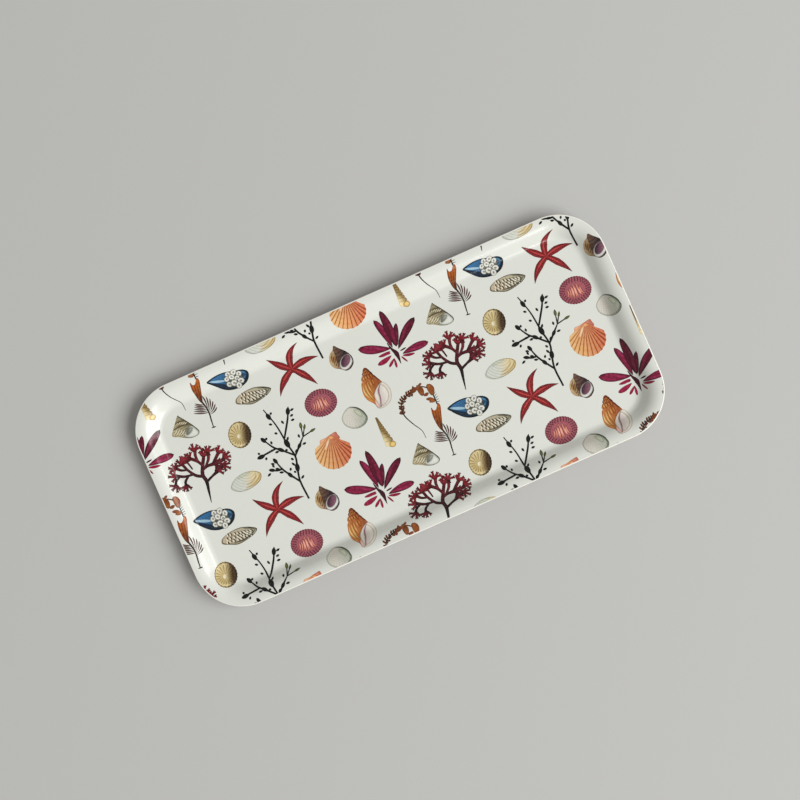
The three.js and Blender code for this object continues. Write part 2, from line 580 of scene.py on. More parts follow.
def drawn_skin(layers):
    """Layers of ink, the later ones on top, cut into one skin of triangles.

    A layer is a colour, its outlines and, if it has one, its drawing grain. Each row of the
    first result is a corner: x, y, the distance to its layer's edge, two numbers of grain and
    the three of its colour. The second holds triangles of rows.
    """
    layers = [(*layer, plain)[:3] for layer in layers]
    corners, loops, layer_of = [], [], []
    for number, (_, outlines, _) in enumerate(layers):
        for outline in outlines:
            x, y = outline.T
            if np.dot(x, np.roll(y, -1)) < np.dot(y, np.roll(x, -1)):
                outline = outline[::-1]
            loops.append(list(range(len(corners), len(corners) + len(outline))))
            layer_of.append(number)
            corners += [tuple(corner) for corner in outline]
    low, high = np.min(corners, axis=0), np.max(corners, axis=0)
    for row, y in enumerate(np.arange(low[1], high[1], GRAIN_ROW)):
        start = low[0] + GRAIN_OF_DRAWING / 2 * (row % 2)
        corners += [(x, y) for x in np.arange(start, high[0], GRAIN_OF_DRAWING)]
    vertices, _, faces, _, _, origins = delaunay_2d_cdt(
        [Vector(corner) for corner in corners], [], loops, 1, 1e-4,
    )
    vertices = np.array([tuple(vertex) for vertex in vertices])
    faces = np.array([face for face, origin in zip(faces, origins) if origin])
    topmost = np.array([max(layer_of[loop] for loop in origin) for origin in origins if origin])
    rows, triangles, start = [], [], 0
    for number, (colour, _, grain) in enumerate(layers):
        own = faces[topmost == number]
        if not len(own):
            continue
        used, own = np.unique(own, return_inverse=True)
        own = own.reshape(-1, 3)
        points = vertices[used]
        edges = np.sort(np.vstack([own[:, [0, 1]], own[:, [1, 2]], own[:, [2, 0]]]), axis=1)
        edges, times = np.unique(edges, axis=0, return_counts=True)
        rim = points[edges[times == 1]]
        run = rim[:, 1] - rim[:, 0]
        back = points[:, None] - rim[None, :, 0]
        share = np.clip((back * run).sum(2) / np.maximum((run * run).sum(1), 1e-12), 0, 1)
        nearest = np.linalg.norm(back - share[..., None] * run, axis=2).min(1)
        if callable(colour):
            ink = colour(points, nearest)
        else:
            ink = np.tile(shade(*colour)[:3], (len(points), 1))
        rows.append(np.column_stack([points, nearest, grain(points), ink]))
        triangles.append(own + start)
        start += len(points)
    return np.vstack(rows), np.vstack(triangles)


def trimmed(rows, triangles, past):
    """The skin with everything beyond the trim line, where `past` is above zero, cut away."""
    rows, triangles_left, cuts = list(rows), [], {}

    def crossing(inside, outside):
        if (inside, outside) not in cuts:
            share = past[inside] / (past[inside] - past[outside])
            cuts[inside, outside] = len(rows)
            rows.append(rows[inside] + share * (rows[outside] - rows[inside]))
        return cuts[inside, outside]

    for triangle in triangles:
        out = [corner for corner in triangle if past[corner] > 0]
        if len(out) == 3:
            continue
        while out and (past[triangle[0]] <= 0) == (len(out) == 1):
            triangle = np.roll(triangle, 1)
        a, b, c = triangle
        if not out:
            triangles_left.append([a, b, c])
        elif len(out) == 1:
            ab, ac = crossing(b, a), crossing(c, a)
            triangles_left += [[ab, b, c], [ab, c, ac]]
        else:
            triangles_left.append([a, crossing(a, b), crossing(a, c)])
    used, triangles_left = np.unique(triangles_left, return_inverse=True)
    return np.array(rows)[used], triangles_left.reshape(-1, 3)


def inked(name, at, layers, ink, turn=0.0):
    """Prints a drawing wherever the repeat puts it on the tray, as one film of ink."""
    drawing, triangles = drawn_skin(layers)
    drawing[:, :2] = turned(drawing[:, :2], math.radians(turn))
    radius = np.linalg.norm(drawing[:, :2], axis=1).max()
    trim = floor_corner_radius + rim_station(0) - BARE_RIM
    limits = corner_centre / MM
    all_rows, all_triangles, count = [], [], 0
    for row in COPIES:
        for column in COPIES:
            shift = [REPEAT * column - ROW_SHIFT * row, -ROW_PITCH * row]
            middle = turned([at], PAGE_TURN)[0] + shift
            away = np.linalg.norm(middle - np.clip(middle, -limits, limits))
            if away > trim / MM + radius:
                continue
            flat = (turned(drawing[:, :2], PAGE_TURN) + middle) * MM
            copy = np.hstack([flat, drawing])
            past = beyond_floor(flat) + floor_corner_radius - trim
            if past.min() > 0:
                continue
            own = triangles
            if past.max() > 0:
                copy, own = trimmed(copy, triangles, past)
            all_rows.append(copy)
            all_triangles.append(own + count)
            count += len(copy)
    rows = np.vstack(all_rows)
    places, normals = pressed(rows[:, :2], -INK_LIFT)
    film = smooth_piece(name, places, np.vstack(all_triangles).tolist(), normals)
    for label, kind, field, values in (
        ("plate", "FLOAT_VECTOR", "vector", rows[:, 2:5]),
        ("grain", "FLOAT_VECTOR", "vector", np.column_stack([rows[:, 5:7], rows[:, 0]])),
        ("ink", "FLOAT_COLOR", "color", np.column_stack([rows[:, 7:10], np.ones(len(rows))])),
    ):
        attribute = film.data.attributes.new(label, kind, "POINT")
        attribute.data.foreach_set(field, values.ravel())
    film.data.materials.append(ink)
    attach(film, "root")


# Drawing: how a hand-painted ink lies, pooled darker at its edge, mottled, ribbed and ringed
# along its own grain, speckled, and darker on the side away from the window.
drawing, given, result = shader_group(
    "drawing",
    {
        "Ink": (0.5, 0.5, 0.5, 1.0),
        "Pooling": 0.4, "Pool Width": 0.5,
        "Mottle": 0.25, "Mottle Scale": 0.6,
        "Ribs": 0.0, "Rib Count": 12.0,
        "Rings": 0.0, "Ring Count": 3.0,
        "Specks": 0.0, "Speck Scale": 1.5,
        "Shading": 0.0, "Shading Reach": 10.0,
    },
    {"Color": "Color"},
)
plate = node(drawing, "Attribute", attribute_name="plate").outputs["Vector"]
plate_parts = node(drawing, "SeparateXYZ", {0: plate}).outputs
flat_plate = node(
    drawing, "CombineXYZ", {"X": plate_parts["X"], "Y": plate_parts["Y"]},
).outputs[0]
grain = node(drawing, "Attribute", attribute_name="grain").outputs["Vector"]
grain_parts = node(drawing, "SeparateXYZ", {0: grain}).outputs
cloud = noise(drawing, flat_plate, given["Mottle Scale"], 3.0, 0.6)
cloud = maths(drawing, "MULTIPLY_ADD", cloud, 2.0, -1.0)


def waves(way, count, wobble, sharpness):
    """Fine lines across one way of the grain, a little unsteady, from 0 to 1."""
    angle = maths(drawing, "MULTIPLY_ADD", way, count, maths(drawing, "MULTIPLY", cloud, wobble))
    wave = maths(drawing, "MULTIPLY_ADD", maths(drawing, "COSINE", angle), -0.5, 0.5)
    return maths(drawing, "POWER", wave, sharpness)


pool = maths(drawing, "DIVIDE", plate_parts["Z"], given["Pool Width"])
pool = maths(drawing, "SUBTRACT", 1.0, pool, clamp=True)
specks = node(
    drawing, "TexVoronoi", {"Vector": flat_plate, "Scale": given["Speck Scale"]},
).outputs["Distance"]
specks = stretched(drawing, specks, 0.42, 0.18)
sided = maths(drawing, "DIVIDE", plate_parts["X"], given["Shading Reach"])
sided = maths(drawing, "MINIMUM", maths(drawing, "MAXIMUM", sided, -1.0), 1.0)
tones = [
    (given["Pooling"], pool),
    (given["Ribs"], waves(grain_parts["X"], given["Rib Count"], 0.8, 1.5)),
    (given["Rings"], waves(grain_parts["Y"], given["Ring Count"], 1.2, 2.5)),
    (given["Specks"], specks),
    (given["Shading"], sided),
    (given["Mottle"], cloud),
]
tone = 1.0
for amount, pattern in tones:
    darker = maths(drawing, "MULTIPLY", amount, pattern)
    tone = maths(drawing, "MULTIPLY", tone, maths(drawing, "SUBTRACT", 1.0, darker))
depth = maths(drawing, "DIVIDE", 1.0, maths(drawing, "MAXIMUM", tone, 0.2))
deepened = node(drawing, "Gamma", {"Color": given["Ink"], "Gamma": depth}).outputs["Color"]
toned = node(
    drawing, "VectorMath",
    {"Vector": deepened, "Scale": maths(drawing, "POWER", tone, 0.6)}, operation="SCALE",
)
drawing.links.new(toned.outputs["Vector"], result["Color"])


def inks(name, **dials):
    """The ink of one kind of creature under the glossy overlay, its drawing set by `dials`."""
    material, tree, shader = finish(name)
    values = {dial.replace("_", " ").title(): value for dial, value in dials.items()}
    values["Ink"] = node(tree, "Attribute", attribute_name="ink").outputs["Color"]
    drawn = node(tree, "Group", values, node_tree=drawing)
    gloss = node(
        tree, "Group", {"Polish": POLISH, "Dulling": DULLING}, node_tree=press_gloss,
    )
    tree.links.new(drawn.outputs["Color"], shader.inputs["Base Color"])
    tree.links.new(gloss.outputs["Roughness"], shader.inputs["Roughness"])
    return material


# ---------------------------------------------------------------------------------------------
# Starfish. A film of brick-red ink on the paper under the overlay: five uneven arms that swell
# and then taper, each with a paler ridge.

arms, ridges = [], []
for length, heading, bow in (
    (18.4, 81, 3.2), (18.6, 27, 1.6), (18.9, -30, 0.8), (18.9, -113, -1.8), (17.9, 159, 0.6),
):
    t = np.linspace(0, 1, 6)
    line = turned(np.column_stack([t * length, 4 * bow * t * (1 - t)]), math.radians(heading))
    arms.append(ribbon(line, [2.6, 3.9, 4.6, 3.6, 1.9, 0.1]))
    ridges.append(ribbon(line[:5] + [-0.25, 0.2], [0.6, 1.3, 1.2, 0.6, 0.2]))
inked(
    "starfish_ink", (-68.5, 26.1),
    [
        (rounded((118, 30, 36), (176, 52, 58), 1.5), arms + [oval((0, 0), 5.0, 4.8)],
         fanned((0, 0))),
        ((196, 76, 74), ridges, fanned((0, 0))),
        ((160, 54, 56), [oval((0.1, 0), 2.2, 2.0)], fanned((0, 0))),
    ],
    inks("starfish ink", pooling=0.15, pool_width=0.5, mottle=0.35, mottle_scale=0.9,
         specks=0.3, speck_scale=1.6, rings=0.1, ring_count=4.5),
)

# ---------------------------------------------------------------------------------------------
# Sea urchin. A flattened round shell in rose ink, its duller rim beaded with three rows of
# knobs, and a few pale strokes across the middle.

random.seed(21)
strokes = [
    leaf((x + random.uniform(-0.4, 0.4), random.uniform(-5.6, -4.4) + 0.3 * abs(x)),
         random.uniform(8.6, 11.0) - 0.9 * abs(x), 92 + 2 * x, 0.8, bend=x * 0.16)
    for x in np.linspace(-5.6, 5.0, 9)
]
knobs = [
    oval(turned([(reach_out * 1.18, 0)], angle)[0] * [1, 0.83], 0.8, 0.5, math.degrees(angle))
    for reach_out, count in ((8.4, 34), (7.3, 29), (6.2, 24))
    for angle in (np.arange(count) + reach_out) * 2 * math.pi / count
]
inked(
    "urchin_ink", (-50.3, 4.8),
    [
        (rounded((168, 102, 114), (210, 100, 100), 3.6),
         [oval((0, 0), 21.0, 17.6, ripple=0.016, ripples=36)], fanned((0, 0))),
        ((122, 68, 86), knobs),
        ((244, 176, 156), strokes),
    ],
    inks("urchin ink", pooling=0.3, pool_width=0.4, mottle=0.2, mottle_scale=1.4,
         ribs=0.1, rib_count=34.0, rings=0.08, ring_count=5.0, specks=0.1, speck_scale=1.2),
    turn=18,
)

# ---------------------------------------------------------------------------------------------
# Clam and tellin. Two smooth bivalves in thin, pale washes of ink, marked only with fine lines
# of growth and a darker edge.

clam = smooth([(-3.2, 6.8), (1.4, 6.2), (5.5, 3.8), (8.2, 0.3), (7.1, -3.6), (3.4, -6.4),
               (-1.2, -7.1), (-5.9, -5.3), (-8.2, -1.6), (-7.8, 1.6), (-5.9, 4.9)])
beak = fanned((-4.2, 7.6))
inked(
    "clam_ink", (-28.7, -4.6),
    [
        (wash((204, 206, 194), (146, 152, 136), (-2, -2), (8, 2)), [clam], beak),
        (wash((222, 218, 206), (192, 198, 182), (-2, -1), (7, 1)),
         [clam * 0.9 + [-0.4, 0.1]], beak),
        ((206, 212, 190), [leaf((-0.6, 4.6), 6.4, -36, 2.6, bend=0.5)], beak),
        ((88, 96, 84), [ribbon([(-3.2, 6.8), (1.4, 6.2), (5.5, 3.8), (7.8, 0.9)],
                               [0.3, 0.8, 0.6, 0.2])], beak),
    ],
    inks("clam ink", pooling=0.25, pool_width=0.6, mottle=0.1, mottle_scale=0.4,
         rings=0.14, ring_count=5.4, ribs=0.1, rib_count=44.0, shading=0.1),
)
tellin = smooth([(-10.6, -2.2), (-7.4, 2.4), (-1.0, 5.0), (6.0, 4.6), (10.4, 1.6), (8.8, -2.6),
                 (2.2, -5.6), (-5.6, -5.8)])
umbo = fanned((2.4, 7.0))
inked(
    "tellin_ink", (63.8, 27.0),
    [
        (wash((202, 204, 194), (196, 172, 122), (-4, 0), (8, 0)), [tellin], umbo),
        (wash((217, 220, 210), (232, 216, 174), (-3, 0), (6, 0)),
         [tellin * 0.93 + [0, 0.1]], umbo),
        ((214, 186, 132), [ribbon([(-1, -4.6), (4.0, -3.6), (8.0, -1.2), (9.4, 1.4)],
                                  [0.2, 0.7, 0.8, 0.3])], umbo),
        ((222, 196, 148), [ribbon([(0, -2.8), (3.6, -1.8), (6.4, 0.2), (7.4, 2.6)],
                                  [0.2, 0.6, 0.6, 0.2])], umbo),
        ((208, 214, 196), [leaf((-4.6, 2.4), 9.0, 10, 1.6, bend=0.8)], umbo),
    ],
    inks("tellin ink", pooling=0.2, pool_width=0.5, mottle=0.1, mottle_scale=0.4,
         rings=0.2, ring_count=3.6),
    turn=18,
)

# ---------------------------------------------------------------------------------------------
# Scallop. A ribbed fan with two small ears at the hinge, in orange ink that pales to peach on
# one side, its ribs and furrows drawn over it.

SCALLOP_SPAN = math.radians(59)
SCALLOP_RIBS = 13
hinge = np.array([0.0, 10.6])
sweep = np.linspace(-SCALLOP_SPAN, SCALLOP_SPAN, 6 * SCALLOP_RIBS + 1)
edge = 21.6 * np.cos(sweep) ** 0.8 - 0.22 * np.cos(sweep / SCALLOP_SPAN * math.pi * SCALLOP_RIBS)
spread = np.column_stack([np.sin(sweep), -np.cos(sweep)])
fan = np.vstack([[hinge], hinge + spread * edge[:, None]])
furrows, ridges = [], []
for number in range(1, 2 * SCALLOP_RIBS):
    angle = (number / SCALLOP_RIBS - 1) * SCALLOP_SPAN * 0.97
    reach_out = 21.2 * math.cos(angle) ** 0.8
    line = hinge + turned([(0, -2.6), (0, -10.0), (0, -reach_out)], angle)
    if number % 2 == 0:
        furrows.append(ribbon(line, [0.12, 0.4, 0.6]))
    else:
        ridges.append(ribbon(line * [1, 0.96], [0.1, 0.3, 0.4]))
inked(
    "scallop_ink", (-42.3, -26.4),
    [
        (wash((238, 182, 146), (200, 120, 98), (-5, 0), (3, 0)), [
            smooth([(-6.6, 4.6), (-7.2, 8.4), (-3.4, 9.6), (0, 11.2), (3.4, 12.4), (4.4, 10.8),
                    (5.4, 8.0), (0, 6.0)]),
        ]),
        (wash((250, 206, 146), (234, 150, 112), (-9, 0), (8, 3)), [fan], fanned(hinge)),
        (wash((255, 222, 186), (250, 184, 150), (-8, 0), (6, 4)), ridges),
        (wash((196, 128, 80), (166, 84, 60), (-8, 0), (6, 4)), furrows),
        ((248, 212, 176), [leaf(hinge + [-1.2, -1.6], 8.0, -118, 1.6)]),
    ],
    inks("scallop ink", pooling=0.3, pool_width=0.6, mottle=0.2, mottle_scale=0.5,
         rings=0.08, ring_count=1.6, shading=0.06, shading_reach=11.0),
    turn=10,
)

# ---------------------------------------------------------------------------------------------
# Mussel. A blue-black wedge with a pale flash at its pointed end, and a crust of white
# barnacles drawn over the broad one.

mussel = smooth([(-13.8, -1.0), (-8.5, 3.2), (-2.7, 5.6), (3.0, 6.2), (8.2, 6.9), (11.8, 5.5),
                 (12.8, 2.4), (11.6, -1.5), (8.0, -4.8), (3.0, -6.7), (-2.0, -6.9), (-7.0, -5.3),
                 (-11.5, -3.0)])
crust = [(-0.6, 3.8), (3.0, 5.2), (6.4, 4.0), (-1.2, 0.2), (1.8, 1.6), (5.2, 0.9), (0.4, -3.4),
         (7.8, -0.8), (3.6, -2.4), (6.6, -3.8)]
random.seed(11)
barnacles, mouths = [], []
for x, y in crust:
    size = random.uniform(3.7, 4.6)
    slant = random.uniform(0, 180)
    barnacles.append([oval((x, y), size, size * 0.88, slant, ripple=0.05, ripples=7)])
    mouths.append(leaf([x, y] - step(size * 0.14, slant), size * 0.28, slant, size * 0.12))
inked(
    "mussel_ink", (44.0, 2.4),
    [
        ((22, 32, 42), [mussel]),
        (wash((60, 118, 166), (38, 72, 100), (-12, 0), (6, 2)),
         [mussel * 0.88 + [0.1, 0.3]]),
        ((26, 44, 62), [leaf((-10.4, -2.2), 18.0, -4, 3.0, bend=-2.2)]),
        ((160, 194, 212), [leaf((-12.6, -1.0), 11.4, 1, 2.0, bend=-0.2)]),
        ((78, 132, 164), [leaf((6.4, 5.6), 5.4, -24, 1.3, bend=0.5),
                          leaf((8.6, 0.4), 3.6, 52, 1.0, bend=-0.4)]),
        ((98, 100, 88), [oval((3.2, 0.4), 11.6, 11.0, 20)]),
    ]
    + [(rounded((136, 137, 124), (238, 237, 229), 0.5), barnacle)
       for barnacle in barnacles]
    + [((168, 166, 152), mouths)],
    inks("mussel ink", pooling=0.25, pool_width=0.4, mottle=0.3, mottle_scale=0.8),
)

# ---------------------------------------------------------------------------------------------
# Limpet. A low cone seen from above, in buff ink, with furrows that spread from its pale peak
# and one side in shade.

peak = fanned((-0.3, -0.9))
furrows = [
    leaf(turned([(1.6, 0)], angle)[0] + [-0.4, -0.9], 5.0 + math.sin(angle),
         math.degrees(angle), 0.7, widest=0.75)
    for angle in np.arange(18) * math.pi / 9
]
inked(
    "limpet_ink", (59.9, 56.1),
    [
        (wash((190, 166, 118), (78, 62, 42), (-2, 0), (7, 1)),
         [oval((0, 0), 14.7, 17.0, 8, ripple=0.016, ripples=26)], peak),
        (wash((240, 226, 184), (118, 94, 66), (0.4, 0), (4.2, 0.6)),
         [oval((-0.3, 0), 13.2, 15.4, 8)], peak),
        (wash((196, 172, 122), (92, 72, 50), (0.4, 0), (4.2, 0.6)), furrows, peak),
        (wash((250, 242, 214), (214, 194, 150), (-1, 0), (1, 0)),
         [oval((-0.5, -0.9), 2.6, 3.0)], peak),
    ],
    inks("limpet ink", pooling=0.3, pool_width=0.4, mottle=0.2, mottle_scale=0.8,
         ribs=0.3, rib_count=18.0, rings=0.1, ring_count=1.2),
)

# ---------------------------------------------------------------------------------------------
# Tall spired shells. Each is a stack of whorls, every one larger than the one above and lapping
# over it, darker on the right where it turns from the light, and closed by the shell's mouth.


def whorls(length, width, count, growth, slant=0.2, bulge=0.06, foot=(0, 0)):
    """Outlines of the whorls of an upright shell standing on `foot`, the topmost first."""
    exposed = length * (1 - growth) / (1 - growth**count)
    up, stack = 0.0, []
    for number in range(count):
        wide, tall = width * growth**number, exposed * growth**number
        narrow = wide * growth if number < count - 1 else wide * 0.3
        low, high = wide / 2 * (1 + bulge), narrow / 2 * (1 + bulge)
        stack.append(smooth([
            (-wide * 0.46, up - slant * wide * 0.3 + 0.1 * tall),
            (-low, up + 0.36 * tall - slant * wide / 2),
            (-high, up + 0.98 * tall - slant * narrow / 2),
            (0, up + 1.06 * tall),
            (high, up + 0.98 * tall + slant * narrow / 2),
            (low, up + 0.36 * tall + slant * wide / 2),
            (wide * 0.46, up + slant * wide * 0.3 + 0.1 * tall),
            (0, up - 0.16 * tall),
        ]) + foot)
        up += tall
    return stack[::-1]


def wound(stack, colours):
    """Layers of ink for whorls, their grain round the shell in radians and then up it."""
    layers = []
    for whorl in stack:
        half, middle = np.ptp(whorl[:, 0]) / 2, whorl[:, 0].mean()

        def grain(points, half=half, middle=middle):
            across = np.clip((points[:, 0] - middle) / half, -0.96, 0.96)
            return np.column_stack([np.arcsin(across), points[:, 1]])
        layers.append((
            wash(*colours, (middle - half * 0.4, 0), (middle + half, half * 0.4)), [whorl], grain,
        ))
    return layers


flutes = [
    leaf((-5.0 + 1.7 * k, 17.8 + 0.5 * min(k, 3)), long, -86 + bow * 5, 1.0, bend=-bow)
    for k, (long, bow) in enumerate(((10.6, 1.5), (12.8, 1.2), (9.0, 0.6), (5.4, 0.2), (4.4, 0)))
] + [
    leaf((x, y), long, -84, long * 0.3)
    for y, long, half in ((22.6, 2.6, 3.2), (24.6, 1.8, 2.0), (26.0, 1.2, 1.1))
    for x in np.linspace(-half, half * 0.6, 4)
]
inked(
    "whelk_ink", (-12.5, 1.4),
    wound(
        whorls(8.6, 9.4, 4, 0.66, slant=-0.2, bulge=0.04, foot=(0.2, 18.9))
        + [smooth([(-4.4, 19.8), (-6.4, 15.4), (-6.7, 11.0), (-5.4, 7.4), (-2.5, 4.0), (-1.2, 1.2),
                   (2.0, 2.6), (6.4, 9.0), (7.2, 14.6), (5.6, 18.0), (2.6, 20.8)])],
        ((218, 148, 80), (166, 94, 50)),
    )
    + [
        (wash((240, 212, 150), (206, 134, 66), (-5, 0), (2.4, 0)), flutes),
        (rounded((206, 194, 182), (232, 227, 214), 0.9), [
            smooth([(5.4, 14.8), (7.6, 15.0), (9.4, 12.8), (10.5, 8.6), (9.2, 3.8), (6.4, 0.9),
                    (2.4, -0.4), (-0.6, 0.0), (-1.9, 2.0), (-0.9, 5.4), (-0.4, 9.4), (2.4, 12.8)]),
        ]),
        (wash((214, 200, 196), (236, 230, 218), (2, 0), (7, 0)),
         [leaf((2.2, 1.0), 13.6, 76, 5.6, bend=-1.6)]),
        ((178, 136, 144), [ribbon([(5.6, 14.4), (3.0, 10.6), (2.4, 5.8), (0.8, 0.6)],
                                  [0.2, 0.9, 0.7, 0.4])]),
        ((236, 198, 190), [leaf((0.0, 0.4), 5.6, 100, 1.6, bend=0.4)]),
        ((86, 52, 34), [ribbon([(0.4, 27.4), (2.0, 24.6), (3.8, 20.8), (6.2, 17.0)],
                               [0.5, 0.7, 0.6, 0.4])]),
    ],
    inks("whelk ink", pooling=0.3, pool_width=0.5, mottle=0.2, mottle_scale=0.6,
         ribs=0.12, rib_count=11.0),
    turn=21.7,
)
inked(
    "auger_ink", (-5.3, -22.5),
    wound(
        whorls(20.6, 6.0, 12, 0.875, slant=-0.34, bulge=0.02),
        ((244, 226, 176), (150, 124, 74)),
    )
    + [
        (rounded((186, 144, 76), (240, 208, 132), 1.0), [oval((1.2, 0.6), 4.2, 3.8)]),
    ],
    inks("auger ink", pooling=0.36, pool_width=0.4, mottle=0.2, mottle_scale=0.8),
    turn=29,
)

# ---------------------------------------------------------------------------------------------
# Squat shells, drawn as one outline each: a dark-lipped periwinkle, a top shell banded aslant,
# and a knobbly spindle whose ribs break up into short pale strokes.

inked(
    "periwinkle_ink", (-37.5, 33.2),
    [
        (wash((206, 178, 136), (112, 90, 76), (-7, 0), (2, 2)), [
            smooth([(-4.9, 7.8), (-1.6, 6.4), (3.4, 4.2), (6.6, 0.8), (7.6, -2.9), (6.4, -6.2),
                    (3.6, -7.9), (-0.4, -7.0), (-4.4, -6.2), (-6.9, -3.4), (-7.5, 0.4),
                    (-6.7, 3.2), (-5.4, 5.0)]),
        ], fanned((-4.9, 8.6))),
        (wash((112, 84, 66), (58, 42, 48), (-4, 0), (2, 0)), [
            smooth([(-4.7, 7.5), (-1.4, 6.1), (3.2, 3.9), (5.8, 1.4), (2.4, 2.0), (0.2, 0.4),
                    (-1.2, -3.4), (-2.8, -1.6), (-3.6, 1.8), (-4.8, 4.6)]),
        ], fanned((-4.9, 8.6))),
        ((180, 132, 80), [leaf((-5.0, -3.0), 4.4, 72, 1.6, bend=0.4)]),
        ((124, 96, 74), [leaf((-6.4 + 1.1 * k, -1.6 - 1.2 * k), 4.2 + 0.4 * k, 80 - 2 * k, 0.5)
                         for k in range(5)]),
        (rounded((160, 154, 152), (234, 231, 226), 0.8),
         [oval((3.3, -2.4), 10.8, 7.6, 64)]),
        (wash((66, 38, 54), (138, 92, 108), (1.2, 0), (5.2, -0.6)),
         [oval((2.9, -1.7), 8.2, 5.0, 66)]),
        ((58, 46, 46), [ribbon([(4.4, 3.6), (7.0, 0.4), (7.7, -3.2), (6.2, -6.6)],
                               [0.2, 0.6, 0.5, 0.2])]),
    ],
    inks("periwinkle ink", pooling=0.3, pool_width=0.4, mottle=0.3, mottle_scale=0.7,
         rings=0.16, ring_count=2.6),
)
bands = [
    ribbon([(-7.8, -1.6), (-4.0, 0.6), (1.4, 2.2)], [0.5, 0.9, 0.5]),
    ribbon([(-6.7, 2.4), (-3.8, 3.8), (-1.4, 4.4)], [0.5, 0.7, 0.3]),
]
stripes = [
    leaf((-8.0 + 1.5 * k, -5.4), 5.4 - 0.1 * k, 62 - 2 * k, 0.8, bend=-0.3) for k in range(7)
] + [
    leaf((-6.2 + 1.3 * k, 1.4 + 0.1 * k), 2.6, 58 - 2 * k, 0.6) for k in range(5)
]
inked(
    "top_shell_ink", (25.7, 60.8),
    [
        (wash((196, 184, 152), (128, 122, 100), (-7, -2), (3, 4)), [
            smooth([(-5.5, 7.4), (-4.4, 6.9), (-0.6, 4.6), (4.4, 1.4), (8.3, -1.8), (7.8, -4.6),
                    (4.4, -6.4), (0.4, -6.8), (-4.2, -6.2), (-8.6, -5.8), (-8.2, -1.6),
                    (-6.9, 3.0)]),
        ], straight(28)),
        ((236, 228, 202), stripes),
        ((112, 102, 78), bands),
        (rounded((150, 152, 140), (230, 231, 222), 1.2), [
            smooth([(1.0, -0.4), (3.6, 1.2), (6.6, -0.8), (8.2, -2.6), (7.4, -5.0), (3.6, -6.4),
                    (0.0, -6.2), (-1.0, -4.2)]),
        ]),
        (wash((120, 124, 108), (196, 200, 186), (1.4, 0), (4.6, 0)),
         [leaf((0.6, -4.6), 5.4, 54, 2.4, bend=0.4)]),
        ((92, 84, 62), [ribbon([(-5.4, 7.2), (-1.0, 4.6), (4.0, 1.5), (7.2, -0.9)],
                               [0.3, 0.6, 0.5, 0.2])]),
    ],
    inks("top shell ink", pooling=0.3, pool_width=0.4, mottle=0.22, mottle_scale=0.8,
         ribs=0.3, rib_count=4.6),
)
random.seed(8)
pale_strokes, dark_strokes = [], []
for column in range(8):
    for row in range(3):
        x = -8.6 + 2.1 * column + random.uniform(-0.3, 0.3)
        y = -2.5 + 0.62 * column + (2.5 - 0.18 * column) * (row - 0.6)
        heading = -58 + 4 * column + random.uniform(-12, 12)
        pale_strokes.append(leaf((x, y), random.uniform(1.8, 3.0), heading, 0.9, bend=0.3))
        dark_strokes.append(leaf((x + 0.8, y + 0.6), random.uniform(1.8, 2.8), heading, 0.9))
spindle = smooth([(-10.7, -5.3), (-11.1, -2.3), (-7.8, 1.2), (-3.5, 3.8), (0.8, 5.4), (6.6, 5.8),
                  (11.1, 4.7), (9.4, 1.2), (6.2, -1.4), (2.3, -4.0), (-1.2, -5.5), (-5.8, -5.6)])
inked(
    "spindle_ink", (59.7, -8.1),
    [
        (wash((116, 104, 76), (84, 80, 66), (-8, 0), (8, 2)), [spindle]),
        (wash((196, 182, 156), (178, 172, 148), (-8, 0), (8, 2)),
         [spindle * [0.95, 0.9] + [0, 0.1]]),
        (wash((88, 72, 48), (80, 76, 58), (-8, 0), (8, 2)), dark_strokes),
        (wash((242, 234, 214), (238, 234, 218), (-8, 0), (8, 2)), pale_strokes),
        ((92, 88, 74), [ribbon([(-3.4, -4.4), (2.0, -2.8), (7.0, 0.6), (9.8, 3.8)],
                               [0.4, 0.8, 0.7, 0.3]),
                        ribbon([(2.6, 4.8), (6.6, 5.0), (10.2, 4.3)], [0.2, 0.6, 0.3])]),
    ],
    inks("spindle ink", pooling=0.2, pool_width=0.4, mottle=0.3, mottle_scale=0.9),
)

# ---------------------------------------------------------------------------------------------
# Red leaf weed. A tuft of plain crimson blades from one dark stalk, long above and short below,
# the middle ones in a deeper ink.


def tuft(*blades):
    """Blades, each from its root to its tip, of a width, a bow to the left and a widest place."""
    outlines = []
    for root, tip, width, bow, widest in blades:
        way = np.subtract(tip, root)
        outlines.append(leaf(root, np.linalg.norm(way), heading_of(way), width, bow, widest, 0.5))
    return outlines


